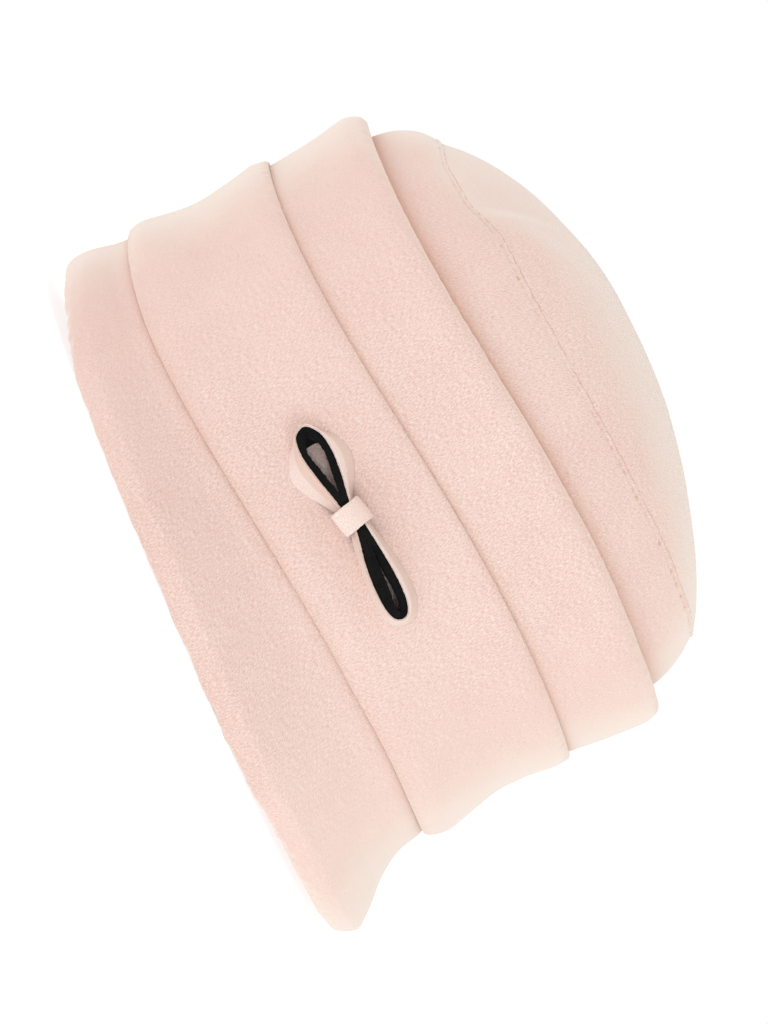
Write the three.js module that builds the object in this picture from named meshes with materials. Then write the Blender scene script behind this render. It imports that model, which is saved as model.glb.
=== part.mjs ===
// Cloche hat, cut and sewn from brushed felt cloth, with a felt bow on its right side.
// Millimetres. +X is the front, +Z is up and -Y is the wearer's right, where the bow sits.
// The hat stands on its rim, with the origin on the floor under the middle of the hat.

import * as THREE from 'three';

// Driving dimensions
const facets = 48; // facets round the head
const felt = 1.4; // one layer of felt cloth
const clearance = 0.3; // gap that neighbouring pieces keep
const ovalFullness = 0.02; // how far the oval swells past an ellipse at its quarters
const frontTaper = 0.05; // how much narrower the oval gets towards the front
const turnSteps = 3; // facets round a wide turned edge
const hemSteps = 2; // facets round a small one

// Share of its rise that a row has climbed, at five places from front to back. The bands run
// level round the back and then climb, and the seam of the tip climbs sooner.
const bandClimb = { front: 0.93, frontQuarter: 1, side: 0.52, backQuarter: -0.09, back: 0 };
const tipClimb = { front: 0.89, frontQuarter: 1, side: 0.59, backQuarter: 0.23, back: 0 };

// The rim rests on the floor along both sides and lifts at its two ends: by height, between
// two shares of the half length
const frontLift = { height: 2.4, from: 0.45, to: 0.75 };
const backLift = { height: 9.5, from: 0.6, to: 1.15 };

// Walls are described by rows, each a ring round the head: its height at the centre back
// (level), how much higher it runs at the front (rise), how far it follows the seam of the
// tip (tip) and the rim's lift (lift), and how far it lies from the middle at the back, side
// and front.

// Brim, outer face from the lip up to the edge hidden behind the middle band
const brimFace = [
  { level: 8.0, rise: 0.8, tip: 0, lift: 1.0, back: 123.3, side: 110.5, front: 130.7 },
  { level: 13.0, rise: 3.0, tip: 0, lift: 0.7, back: 123.2, side: 106.2, front: 125.6 },
  { level: 17.5, rise: 7.0, tip: 0, lift: 0.5, back: 122.8, side: 101.6, front: 118.0 },
  { level: 22.5, rise: 12.0, tip: 0, lift: 0.4, back: 122.0, side: 97.4, front: 111.6 },
  { level: 28.2, rise: 16.0, tip: 0, lift: 0.4, back: 120.9, side: 95.0, front: 107.9 },
  { level: 43.0, rise: 16.5, tip: 0, lift: 0.0, back: 119.8, side: 89.9, front: 98.3 },
];

// Brim, the flat that rests on the floor, then the facing turned up inside
const rimOuter = { level: 0, rise: 0, tip: 0, lift: 1, back: 120.1, side: 106.4, front: 125.4 };
const rimInner = { level: 0, rise: 0, tip: 0, lift: 1, back: 118.0, side: 103.4, front: 121.6 };
const facing = [
  { level: 4.0, rise: 1.0, tip: 0, lift: 1.0, back: 116.9, side: 100.2, front: 117.0 },
  { level: 16.0, rise: 7.0, tip: 0, lift: 0.4, back: 116.4, side: 91.6, front: 105.8 },
  { level: 33.2, rise: 16.0, tip: 0, lift: 0.0, back: 116.3, side: 86.8, front: 95.6 },
];

// Middle band, outer face between its two folds
const middleFace = [
  { level: 39.0, rise: 16.0, tip: 0, lift: 0, back: 125.8, side: 99.2, front: 112.2 },
  { level: 58.0, rise: 16.4, tip: 0, lift: 0, back: 124.7, side: 95.9, front: 106.8 },
  { level: 70.0, rise: 16.7, tip: 0, lift: 0, back: 126.9, side: 96.2, front: 105.8 },
  { level: 80.5, rise: 17.0, tip: 0, lift: 0, back: 129.3, side: 97.4, front: 106.6 },
];
const middleUnderFold = { drop: 9.6, crest: 3.3, width: 3.9, returnHeight: 10, lift: 0.4 };
const middleTopHem = { height: 6.4, crest: 2.0, width: 2.6, from: 0.45 };

// Upper band, outer face from the foot tucked behind the middle band up to its roll
const upperFace = [
  { level: 74.0, rise: 17.0, tip: 0, lift: 0, back: 125.0, side: 93.5, front: 103.0 },
  { level: 86.7, rise: 17.0, tip: 0, lift: 0, back: 126.4, side: 94.5, front: 103.7 },
  { level: 105.0, rise: 15.5, tip: 0, lift: 0, back: 128.6, side: 96.3, front: 104.5 },
  { level: 116.3, rise: 15.0, tip: 0, lift: 0, back: 130.7, side: 98.0, front: 104.8 },
];
const upperRoll = { height: 7.4, crest: 5.0, width: 9.5, returnDepth: 10 };

// Crown side, outer face from the seam with the tip down to the headline
const crownFace = [
  { level: 145.7, rise: 14.3, tip: 1, lift: 0, back: 109.0, side: 76.6, front: 82.1 },
  { level: 143.0, rise: 14.0, tip: 1, lift: 0, back: 112.9, side: 79.4, front: 84.4 },
  { level: 139.0, rise: 14.0, tip: 0.8, lift: 0, back: 116.6, side: 82.2, front: 87.4 },
  { level: 132.0, rise: 14.0, tip: 0.4, lift: 0, back: 119.8, side: 85.6, front: 91.0 },
  { level: 124.0, rise: 14.0, tip: 0, lift: 0, back: 120.9, side: 87.5, front: 93.3 },
  { level: 112.0, rise: 14.5, tip: 0, lift: 0, back: 120.9, side: 87.9, front: 93.9 },
  { level: 33.5, rise: 16.0, tip: 0, lift: 0, back: 117.7, side: 88.2, front: 97.0 },
];

// Crown tip: a dome that drops from its top to the seam by a power of the distance (fall),
// with a share of the drop (turn) kept for a sharper turn by the seam
const dome = {
  topHeight: 182.1,
  topAlong: -11,
  back: { fall: 2.35, turn: 0.13 },
  side: { fall: 2.15, turn: 0.16 },
  front: { fall: 1.75, turn: 0.12 },
  turnPower: 10,
  outerShares: [1, 0.96, 0.88, 0.74, 0.54, 0.3],
  innerShares: [1, 0.88, 0.6, 0.28],
};

// Bow. along runs to the front and up runs up, both from the middle of the knot.
const bow = {
  along: -1.7,
  up: 67.5,
  strip: 0.8, // pink strip
  width: 9.7, // of the strips, which stand on edge
  steps: 26,
  knotLength: 8.8,
  knotHeight: 11.4,
  knotDepth: 13.1,
  knotFelt: 1.3,
  knotCorner: 2.4,
  knotLean: 16, // degrees
  underKnot: 5, // distance along within which the strips lie on the knot's back layer
  onBand: 12, // and beyond which they lie on the band
};

// Stations round each loop, from the knot's top round to its underside: where the strip's
// free edge (near) and the edge against the hat (base) lie, and how thick the black felt
// inside it is (lining)
const rearLoop = {
  turn: 1,
  stations: [
    { nearAlong: -1.0, nearUp: 1.8, baseAlong: -1.0, baseUp: 2.0, lining: 0.8 },
    { nearAlong: -6.5, nearUp: 2.1, baseAlong: -6.0, baseUp: 2.3, lining: 1.6 },
    { nearAlong: -16.0, nearUp: 3.0, baseAlong: -13.3, baseUp: 6.0, lining: 2.3 },
    { nearAlong: -23.5, nearUp: 3.0, baseAlong: -19.5, baseUp: 7.5, lining: 2.3 },
    { nearAlong: -30.0, nearUp: 1.4, baseAlong: -26.5, baseUp: 5.2, lining: 2.3 },
    { nearAlong: -34.3, nearUp: -2.9, baseAlong: -30.7, baseUp: -2.1, lining: 2.3 },
    { nearAlong: -32.2, nearUp: -7.2, baseAlong: -28.0, baseUp: -9.8, lining: 2.4 },
    { nearAlong: -25.5, nearUp: -8.3, baseAlong: -18.5, baseUp: -13.9, lining: 2.4 },
    { nearAlong: -16.0, nearUp: -6.4, baseAlong: -12.4, baseUp: -11.3, lining: 2.4 },
    { nearAlong: -6.5, nearUp: -3.6, baseAlong: -6.0, baseUp: -6.5, lining: 1.6 },
    { nearAlong: -0.5, nearUp: -2.2, baseAlong: -0.5, baseUp: -2.6, lining: 0.8 },
  ],
};
const frontLoop = {
  turn: -1,
  stations: [
    { nearAlong: 1.2, nearUp: 3.4, baseAlong: 1.2, baseUp: 3.6, lining: 0.8 },
    { nearAlong: 7.5, nearUp: 4.3, baseAlong: 7.5, baseUp: 5.1, lining: 1.4 },
    { nearAlong: 16.5, nearUp: 5.6, baseAlong: 16.5, baseUp: 7.3, lining: 2.1 },
    { nearAlong: 25.5, nearUp: 6.5, baseAlong: 26.0, baseUp: 8.9, lining: 2.3 },
    { nearAlong: 33.5, nearUp: 6.1, baseAlong: 35.0, baseUp: 8.0, lining: 2.3 },
    { nearAlong: 38.0, nearUp: 1.7, baseAlong: 39.4, baseUp: 2.2, lining: 2.3 },
    { nearAlong: 34.8, nearUp: -2.0, baseAlong: 36.6, baseUp: -3.2, lining: 2.8 },
    { nearAlong: 26.5, nearUp: -3.2, baseAlong: 27.5, baseUp: -4.6, lining: 4.1 },
    { nearAlong: 16.5, nearUp: -2.9, baseAlong: 16.5, baseUp: -4.2, lining: 3.9 },
    { nearAlong: 8.0, nearUp: -1.6, baseAlong: 8.0, baseUp: -3.2, lining: 2.0 },
    { nearAlong: 1.8, nearUp: -0.8, baseAlong: 1.8, baseUp: -1.2, lining: 0.8 },
  ],
};

const pinkFelt = new THREE.MeshStandardMaterial({ color: 0xecd0c5, roughness: 0.95, metalness: 0 });
const blackFelt = new THREE.MeshStandardMaterial({ color: 0x141416, roughness: 0.95, metalness: 0 });

// ---- Rings round the head ----

// Smooth even curve through the five values of a climb
function climbShare(climb, angle) {
  const values = [climb.front, climb.frontQuarter, climb.side, climb.backQuarter, climb.back];
  const last = values.length - 1;
  const halfAtEnds = (index) => (index === 0 || index === last ? 0.5 : 1);
  let share = 0;
  for (let wave = 0; wave <= last; wave += 1) {
    let strength = 0;
    for (let place = 0; place <= last; place += 1) {
      const placeAngle = (Math.PI * place) / last;
      strength += (2 / last) * halfAtEnds(place) * values[place] * Math.cos(wave * placeAngle);
    }
    share += halfAtEnds(wave) * strength * Math.cos(wave * angle);
  }
  return share;
}

function rimLiftAt(angle) {
  const lift = Math.cos(angle) > 0 ? frontLift : backLift;
  return lift.height * THREE.MathUtils.smoothstep(Math.abs(Math.cos(angle)), lift.from, lift.to);
}

function riseOf(row, angle) {
  const share = THREE.MathUtils.lerp(
    climbShare(bandClimb, angle),
    climbShare(tipClimb, angle),
    row.tip,
  );
  return row.rise * share;
}

function swellAt(angle) {
  return 1 + ovalFullness * Math.sin(2 * angle) ** 2;
}

// Angle 0 is the centre front and a quarter turn is the wearer's left side
function ringPoint(row, angle) {
  const swell = swellAt(angle);
  const middle = (row.front - row.back) / 2;
  const halfLength = (row.front + row.back) / 2;
  return new THREE.Vector3(
    middle + halfLength * Math.cos(angle) * swell,
    row.side * Math.sin(angle) * swell * (1 - frontTaper * Math.cos(angle)),
    row.level + riseOf(row, angle) + row.lift * rimLiftAt(angle),
  );
}

function blend(from, to, share) {
  const row = {};
  for (const key of Object.keys(from)) {
    row[key] = THREE.MathUtils.lerp(from[key], to[key], share);
  }
  return row;
}

// The same row further in towards the head, and higher by up
function inset(row, distance, up = 0) {
  return {
    ...row,
    level: row.level + up,
    back: row.back - distance,
    side: row.side - distance,
    front: row.front - distance,
  };
}

// Rows on a quarter of an ellipse, upright at one row and level at the other, ends left out
function quarterTurn(upright, flat, steps) {
  const rows = [];
  for (let step = 1; step < steps; step += 1) {
    const angle = (Math.PI / 2) * (step / steps);
    const across = blend(upright, flat, 1 - Math.cos(angle));
    const along = blend(upright, flat, Math.sin(angle));
    rows.push({ ...along, back: across.back, side: across.side, front: across.front });
  }
  return rows;
}

// ---- Solids from sections ----

// Skins closed sections of equal length. A section's corners run anticlockwise seen from
// further along. The row of sections joins up into a ring, or its two ends are closed.
function loft(sections, isRing) {
  const positions = [];
  const triangle = (a, b, c) => positions.push(...a.toArray(), ...b.toArray(), ...c.toArray());
  const count = sections[0].length;
  const spans = isRing ? sections.length : sections.length - 1;
  for (let index = 0; index < spans; index += 1) {
    const here = sections[index];
    const next = sections[(index + 1) % sections.length];
    for (let corner = 0; corner < count; corner += 1) {
      const after = (corner + 1) % count;
      // Split along the shorter diagonal, so that faces that lie on each other match
      if (here[corner].distanceTo(next[after]) < next[corner].distanceTo(here[after])) {
        triangle(here[corner], next[corner], next[after]);
        triangle(here[corner], next[after], here[after]);
      } else {
        triangle(here[corner], next[corner], here[after]);
        triangle(next[corner], next[after], here[after]);
      }
    }
  }
  if (!isRing) {
    const first = sections[0];
    const last = sections[sections.length - 1];
    for (let corner = 1; corner < count - 1; corner += 1) {
      triangle(first[0], first[corner], first[corner + 1]);
      triangle(last[0], last[corner + 1], last[corner]);
    }
  }
  return geometryFrom(positions);
}

function geometryFrom(positions) {
  const geometry = new THREE.BufferGeometry();
  geometry.setAttribute('position', new THREE.Float32BufferAttribute(positions, 3));
  geometry.computeVertexNormals();
  return geometry;
}

// A wall round the head. Its rows go up the outer face, over, and down the inner face.
function wallRound(rows) {
  const sections = [];
  for (let index = 0; index < facets; index += 1) {
    const angle = (2 * Math.PI * index) / facets;
    sections.push(rows.map((row) => ringPoint(row, angle)));
  }
  return loft(sections, true);
}

// ---- The hat's pieces ----

function brimGeometry() {
  const lip = brimFace[0];
  const faceBack = brimFace.map((row) => inset(row, felt)).reverse();
  const facingBack = facing.map((row) => inset(row, -felt));
  return wallRound([
    rimOuter,
    ...quarterTurn(lip, rimOuter, turnSteps).reverse(),
    ...brimFace,
    ...faceBack,
    inset(rimOuter, 0, felt),
    inset(rimInner, 0, felt),
    ...facingBack,
    ...[...facing].reverse(),
    rimInner,
  ]);
}

function middleBandGeometry() {
  const bulge = middleFace[0];
  const shoulder = middleFace[middleFace.length - 1];
  const fold = middleUnderFold;
  const hem = middleTopHem;
  const foldCrest = { ...inset(bulge, fold.crest, -fold.drop), lift: fold.lift };
  const hemCrest = inset(shoulder, hem.crest, hem.height);
  const hemFoot = inset(blend(middleFace[2], shoulder, hem.from), hem.width);
  return wallRound([
    foldCrest,
    ...quarterTurn(bulge, foldCrest, turnSteps).reverse(),
    ...middleFace,
    ...quarterTurn(shoulder, hemCrest, hemSteps),
    hemCrest,
    inset(shoulder, hem.width, hem.height - felt / 2),
    hemFoot,
    inset(hemFoot, felt - hem.width, -felt),
    inset(middleFace[1], felt),
    inset(bulge, felt),
    inset(foldCrest, -felt / 2, felt),
    inset(bulge, fold.width - felt, fold.returnHeight - fold.drop),
    inset(bulge, fold.width, fold.returnHeight - fold.drop),
    inset(foldCrest, fold.width - fold.crest, felt / 2),
  ]);
}

function upperBandGeometry() {
  const shoulder = upperFace[upperFace.length - 1];
  const roll = upperRoll;
  const crest = inset(shoulder, roll.crest, roll.height);
  const inner = inset(shoulder, roll.width);
  const innerFoot = inset(inner, 0, -roll.returnDepth);
  const underCrest = inset(crest, 0, -felt);
  return wallRound([
    ...upperFace,
    ...quarterTurn(shoulder, crest, turnSteps),
    crest,
    ...quarterTurn(inner, crest, hemSteps).reverse(),
    inner,
    innerFoot,
    inset(innerFoot, -felt),
    inset(inner, -felt),
    underCrest,
    ...quarterTurn(inset(shoulder, felt), underCrest, hemSteps).reverse(),
    inset(shoulder, felt),
    inset(upperFace[2], felt),
    inset(upperFace[1], felt),
    inset(upperFace[0], felt),
  ]);
}

function crownSideGeometry() {
  const outside = [...crownFace].reverse();
  const inside = [crownFace[0], crownFace[2], crownFace[4], crownFace[6]];
  return wallRound([...outside, ...inside.map((row) => inset(row, felt))]);
}

function domePoint(edge, top, share, angle) {
  const rim = ringPoint(edge, angle);
  const end = Math.cos(angle) > 0 ? dome.front : dome.back;
  const shape = blend(dome.side, end, Math.cos(angle) ** 2);
  const drop = (1 - shape.turn) * share ** shape.fall + shape.turn * share ** dome.turnPower;
  return new THREE.Vector3(
    dome.topAlong + (rim.x - dome.topAlong) * share,
    rim.y * share,
    top - (top - rim.z) * drop,
  );
}

// Two domed skins joined round the seam
function crownTipGeometry() {
  const edge = inset(crownFace[0], 0, clearance);
  const innerEdge = inset(edge, felt);
  const innerTop = dome.topHeight - felt;
  const angles = Array.from({ length: facets }, (_, index) => (2 * Math.PI * index) / facets);
  const rings = [
    ...[...dome.innerShares].reverse().map((share) => ({ edge: innerEdge, top: innerTop, share })),
    ...dome.outerShares.map((share) => ({ edge, top: dome.topHeight, share })),
  ].map((ring) => angles.map((angle) => domePoint(ring.edge, ring.top, ring.share, angle)));
  const positions = [];
  const triangle = (a, b, c) => positions.push(...a.toArray(), ...b.toArray(), ...c.toArray());
  const innerPole = new THREE.Vector3(dome.topAlong, 0, innerTop);
  const outerPole = new THREE.Vector3(dome.topAlong, 0, dome.topHeight);
  for (let index = 0; index < facets; index += 1) {
    const next = (index + 1) % facets;
    for (let ring = 0; ring < rings.length - 1; ring += 1) {
      triangle(rings[ring][index], rings[ring][next], rings[ring + 1][next]);
      triangle(rings[ring][index], rings[ring + 1][next], rings[ring + 1][index]);
    }
    const outermost = rings[rings.length - 1];
    triangle(outermost[index], outermost[next], outerPole);
    triangle(rings[0][next], rings[0][index], innerPole);
  }
  return geometryFrom(positions);
}

// ---- The bow ----

// The middle band's outer face at a level, between the rows above and below it
function middleRowAt(level) {
  const above = Math.max(1, middleFace.findIndex((row) => row.level > level));
  const from = middleFace[above - 1];
  const to = middleFace[above];
  return blend(from, to, (level - from.level) / (to.level - from.level));
}

// Distance of that face from the centre plane. The row and the angle of the point depend on
// each other, so they are closed in on by turns.
function bandFaceAt(x, z) {
  const passes = 12;
  let row = middleFace[1];
  let angle = Math.PI / 2;
  for (let pass = 0; pass < passes; pass += 1) {
    const middle = (row.front - row.back) / 2;
    const halfLength = (row.front + row.back) / 2;
    angle = Math.acos((x - middle) / (halfLength * swellAt(angle)));
    row = middleRowAt(z - riseOf(row, angle));
  }
  return ringPoint(row, angle).y;
}

function curveThrough(stations, alongKey, upKey) {
  const points = stations.map((row) => new THREE.Vector3(row[alongKey], row[upKey], 0));
  return new THREE.CatmullRomCurve3(points, false, 'centripetal');
}

// A point on a loop's outline, moved in towards the middle of the loop
function outlinePoint(curve, share, turn, depth) {
  const point = curve.getPointAt(share);
  const tangent = curve.getTangentAt(share);
  const inward = new THREE.Vector3(-tangent.y, tangent.x, 0).multiplyScalar(turn);
  return point.addScaledVector(inward, depth);
}

// Where the knot's back layer lies against the band
function knotBack() {
  const flatHalf = bow.knotHeight / 2 - bow.knotCorner / 2;
  return clearance + Math.max(
    bandFaceAt(bow.along, bow.up + flatHalf),
    bandFaceAt(bow.along, bow.up - flatHalf),
  );
}

// The strips pass in front of the knot's back layer, and lie against the hat beyond it
function stripFoot(x, z) {
  const fromKnot = Math.abs(x - bow.along);
  const nearKnot = 1 - THREE.MathUtils.smoothstep(fromKnot, bow.underKnot, bow.onBand);
  const onHat = bandFaceAt(x, z) + clearance;
  const onKnot = knotBack() + bow.knotFelt + clearance;
  return THREE.MathUtils.lerp(onHat, onKnot, nearKnot);
}

// One layer of a loop, between two depths under the loop's outline
function loopLayer(loop, outerDepth, thicknessAt) {
  const near = curveThrough(loop.stations, 'nearAlong', 'nearUp');
  const base = curveThrough(loop.stations, 'baseAlong', 'baseUp');
  const sections = [];
  for (let step = 0; step <= bow.steps; step += 1) {
    const share = step / bow.steps;
    const innerDepth = outerDepth + thicknessAt(near, share);
    const baseAt = (depth) => outlinePoint(base, share, loop.turn, depth);
    const nearAt = (depth) => outlinePoint(near, share, loop.turn, depth);
    const lean = nearAt(0).distanceTo(baseAt(0));
    const reach = Math.sqrt(bow.width ** 2 - lean ** 2);
    const foot = baseAt(0);
    const freeEdge = stripFoot(bow.along + foot.x, bow.up + foot.y) + reach;
    const corner = (point, isFree) => {
      const x = bow.along + point.x;
      const z = bow.up + point.y;
      return new THREE.Vector3(x, isFree ? -freeEdge : -stripFoot(x, z), z);
    };
    const section = [
      corner(baseAt(outerDepth), false),
      corner(nearAt(outerDepth), true),
      corner(nearAt(innerDepth), true),
      corner(baseAt(innerDepth), false),
    ];
    sections.push(loop.turn > 0 ? section : section.reverse());
  }
  return loft(sections, false);
}

function liningOf(loop) {
  return (curve, share) => {
    const place = curve.getUtoTmapping(share) * (loop.stations.length - 1);
    const before = Math.min(Math.floor(place), loop.stations.length - 2);
    const from = loop.stations[before].lining;
    return THREE.MathUtils.lerp(from, loop.stations[before + 1].lining, place - before);
  };
}

// A strip wrapped once round the loops, leaning, with rounded corners
function knotGeometry() {
  const back = knotBack();
  const front = back + bow.knotDepth;
  const lean = THREE.MathUtils.degToRad(bow.knotLean);
  const ring = (offset) => {
    const radius = bow.knotCorner - offset;
    const halfHeight = bow.knotHeight / 2 - offset;
    const points = [];
    const corners = [
      { outward: back + offset + radius, up: halfHeight - radius, start: 90 },
      { outward: back + offset + radius, up: radius - halfHeight, start: 180 },
      { outward: front - offset - radius, up: radius - halfHeight, start: 270 },
      { outward: front - offset - radius, up: halfHeight - radius, start: 0 },
    ];
    for (const corner of corners) {
      for (let step = 0; step <= turnSteps; step += 1) {
        const angle = THREE.MathUtils.degToRad(corner.start + (90 * step) / turnSteps);
        points.push({
          outward: corner.outward + radius * Math.cos(angle),
          up: corner.up + radius * Math.sin(angle),
        });
      }
    }
    return points;
  };
  const place = (point, across) => new THREE.Vector3(
    bow.along + across * Math.cos(lean) - point.up * Math.sin(lean),
    -point.outward,
    bow.up + across * Math.sin(lean) + point.up * Math.cos(lean),
  );
  const outside = ring(0);
  const inside = ring(bow.knotFelt);
  const half = bow.knotLength / 2;
  const sections = outside.map((point, index) => [
    place(point, half),
    place(point, -half),
    place(inside[index], -half),
    place(inside[index], half),
  ]);
  return loft(sections, true);
}

// ---- Assembly ----

function piece(name, geometry, material) {
  const mesh = new THREE.Mesh(geometry, material.clone());
  mesh.name = name;
  return mesh;
}

const hat = new THREE.Group();
hat.add(piece('crown_tip', crownTipGeometry(), pinkFelt));
hat.add(piece('crown_side', crownSideGeometry(), pinkFelt));
hat.add(piece('upper_band', upperBandGeometry(), pinkFelt));
hat.add(piece('middle_band', middleBandGeometry(), pinkFelt));
hat.add(piece('brim', brimGeometry(), pinkFelt));

const bowPieces = new THREE.Group();
const stripThickness = () => bow.strip;
const under = bow.strip + clearance;
bowPieces.add(piece('bow_rear_loop', loopLayer(rearLoop, 0, stripThickness), pinkFelt));
bowPieces.add(piece('bow_front_loop', loopLayer(frontLoop, 0, stripThickness), pinkFelt));
bowPieces.add(piece('bow_rear_lining', loopLayer(rearLoop, under, liningOf(rearLoop)), blackFelt));
bowPieces.add(piece('bow_front_lining', loopLayer(frontLoop, under, liningOf(frontLoop)), blackFelt));
bowPieces.add(piece('bow_knot', knotGeometry(), pinkFelt));
hat.add(bowPieces);

export default hat;
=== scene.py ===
import math

import bmesh
import bpy
import numpy as np
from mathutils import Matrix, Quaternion, Vector


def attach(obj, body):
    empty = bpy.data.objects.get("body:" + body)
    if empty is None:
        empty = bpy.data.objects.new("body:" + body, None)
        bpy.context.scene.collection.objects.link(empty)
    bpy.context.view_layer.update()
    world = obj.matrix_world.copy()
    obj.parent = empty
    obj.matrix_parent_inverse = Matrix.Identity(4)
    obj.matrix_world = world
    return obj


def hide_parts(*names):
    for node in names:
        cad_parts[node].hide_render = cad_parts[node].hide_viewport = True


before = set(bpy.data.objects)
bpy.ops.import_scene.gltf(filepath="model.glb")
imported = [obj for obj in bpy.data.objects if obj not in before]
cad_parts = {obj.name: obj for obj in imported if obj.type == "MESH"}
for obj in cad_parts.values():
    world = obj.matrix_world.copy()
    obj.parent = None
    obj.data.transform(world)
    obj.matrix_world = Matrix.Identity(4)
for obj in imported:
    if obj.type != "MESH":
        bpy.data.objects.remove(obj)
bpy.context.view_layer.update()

mm = 0.001  # the tables are in millimetres, and meshes are made in metres
weldWithin = 1e-7  # metres

# Columns of a row, which is a ring round the head: its height at the centre back (level), how
# much higher it runs at the front (rise), how far it follows the tip's seam (tip) and the
# rim's lift (lift), and its distance from the middle at the back, side and front.
level, rise, tip, lift, back, side, front = range(7)

hat = {
    "ovalFullness": 0.02,  # how far the oval swells past an ellipse at its quarters
    "frontTaper": 0.05,  # how much narrower it gets towards the front
    "bandClimb": (0.93, 1, 0.52, -0.09, 0),  # share of the rise at five places, front to back
    "tipClimb": (0.89, 1, 0.59, 0.23, 0),
    "frontLift": (2.4, 0.45, 0.75),  # of the rim: height, from and to shares of the half length
    "backLift": (9.5, 0.6, 1.15),
    "sag": 4.7,  # the tip's seam sinks behind the crease, on the wearer's right
    "sagFrom": (66, 86),  # behind the middle
    "sagEnds": (98, 110, 0.25),
    "felt": 1.4,
    "wideSwell": 0.35,  # the felt's soft unevenness
    "wideSize": 85,
    "smallSwell": 0.12,
    "smallSize": 26,
    "evenBelow": 12,  # so the rim stands flat
    "middleAlong": -8,  # the cloth swells away from here, upwards too above the dome's foot
    "domeFoot": 100,
    "tuftSize": 2.6,
    "tuftClumps": 6,
}


def smoothStep(value, low, high):
    share = np.clip((value - low) / (high - low), 0, 1)
    return share * share * (3 - 2 * share)


def climbShare(climb, angle):
    values = np.array(climb)
    places = np.pi * np.arange(5) / 4
    ends = np.array([0.5, 1, 1, 1, 0.5])
    share = 0
    for wave in range(5):
        strength = np.sum(ends * values * np.cos(wave * places)) / 2
        share = share + ends[wave] * strength * np.cos(wave * angle)
    return share


def ringPoints(rows, angles):
    rows = np.atleast_2d(rows)
    angle = angles[:, None]
    along, across = np.cos(angle), np.sin(angle)
    swell = 1 + hat["ovalFullness"] * np.sin(2 * angle) ** 2
    bandShare, tipShare = climbShare(hat["bandClimb"], angle), climbShare(hat["tipClimb"], angle)
    climb = bandShare * (1 - rows[:, tip]) + tipShare * rows[:, tip]
    frontHeight, frontFrom, frontTo = hat["frontLift"]
    backHeight, backFrom, backTo = hat["backLift"]
    rim = frontHeight * smoothStep(along, frontFrom, frontTo)
    rim = rim + backHeight * smoothStep(-along, backFrom, backTo)
    middle, half = (rows[:, front] - rows[:, back]) / 2, (rows[:, front] + rows[:, back]) / 2
    x = middle + half * along * swell
    y = rows[:, side] * across * swell * (1 - hat["frontTaper"] * along)
    z = rows[:, level] + rows[:, rise] * climb + rows[:, lift] * rim - rows[:, tip] * sagAt(x, y)
    return np.stack([x, y, z], axis=-1)


def sagAt(x, y):
    start, end, left = hat["sagEnds"]
    share = smoothStep(-x, *hat["sagFrom"]) * (1 - (1 - left) * smoothStep(-x, start, end))
    return hat["sag"] * share * smoothStep(-y, -30, 5)


def inset(row, distance, up=0.0):
    moved = np.array(row, float)
    moved[..., [back, side, front]] -= distance
    moved[..., level] += up
    return moved


def between(first, last, share):
    return np.array(first) * (1 - share) + np.array(last) * share


def quarterTurn(upright, flat, steps=9):  # a rounded corner, its two ends left out
    rows = []
    for step in range(1, steps):
        angle = math.pi / 2 * step / steps
        row = between(upright, flat, math.sin(angle))
        row[[back, side, front]] = between(upright, flat, 1 - math.cos(angle))[[back, side, front]]
        rows.append(row)
    return rows


def splineThrough(points, spacing, measure):
    # Smooth curve through points. measure turns them into plain distances in millimetres.
    points = np.array(points, float)
    gaps = np.maximum(np.linalg.norm(np.diff(measure(points), axis=0), axis=1), 1e-6)
    steps = np.sqrt(gaps)[:, None]
    slopes = np.diff(points, axis=0) / steps
    tangents = np.empty_like(points)
    tangents[1:-1] = (slopes[:-1] * steps[1:] + slopes[1:] * steps[:-1]) / (steps[1:] + steps[:-1])
    tangents[0] = 1.5 * slopes[0] - 0.5 * tangents[1]
    tangents[-1] = 1.5 * slopes[-1] - 0.5 * tangents[-2]
    made = []
    for index, gap in enumerate(gaps):
        count = max(1, math.ceil(gap / spacing))
        t = (np.arange(count) / count)[:, None]
        start, end = points[index], points[index + 1]
        leave, arrive = tangents[index] * steps[index], tangents[index + 1] * steps[index]
        made.append(
            (2 * t**3 - 3 * t**2 + 1) * start + (t**3 - 2 * t**2 + t) * leave
            + (3 * t**2 - 2 * t**3) * end + (t**3 - t**2) * arrive
        )
    made.append(points[-1:])
    return np.concatenate(made)


def rowMeasure(rows):
    return np.stack([rows[:, [back, side, front]].mean(axis=1), rows[:, level]], axis=1)


def smoothRows(rows, spacing=1.3):
    return splineThrough(rows, spacing, rowMeasure)


def straightRows(rows, spacing=5.0):
    made = [np.array(rows[0], float)]
    for first, last in zip(rows[:-1], rows[1:]):
        gap = np.linalg.norm(np.diff(rowMeasure(np.array([first, last], float)), axis=0))
        count = max(1, math.ceil(gap / spacing))
        made += [between(first, last, (step + 1) / count) for step in range(count)]
    return np.array(made)


def waves(points, size, seed, count=16):
    # Smooth noise of about one unit either way, made of crossing waves
    random = np.random.default_rng(seed)
    total = np.zeros(points.shape[:-1])
    for _ in range(count):
        direction = random.normal(size=3)
        direction /= np.linalg.norm(direction)
        turns = 2 * math.pi / (size * random.uniform(0.7, 1.5))
        total += np.sin(points @ direction * turns + random.uniform(0, 2 * math.pi))
    return total / math.sqrt(count / 2)


def outward(points):
    centre = np.zeros_like(points)
    centre[..., 0] = hat["middleAlong"]
    centre[..., 2] = np.minimum(points[..., 2], hat["domeFoot"])
    direction = points - centre
    return direction / np.maximum(np.linalg.norm(direction, axis=-1, keepdims=True), 1e-6)


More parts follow.
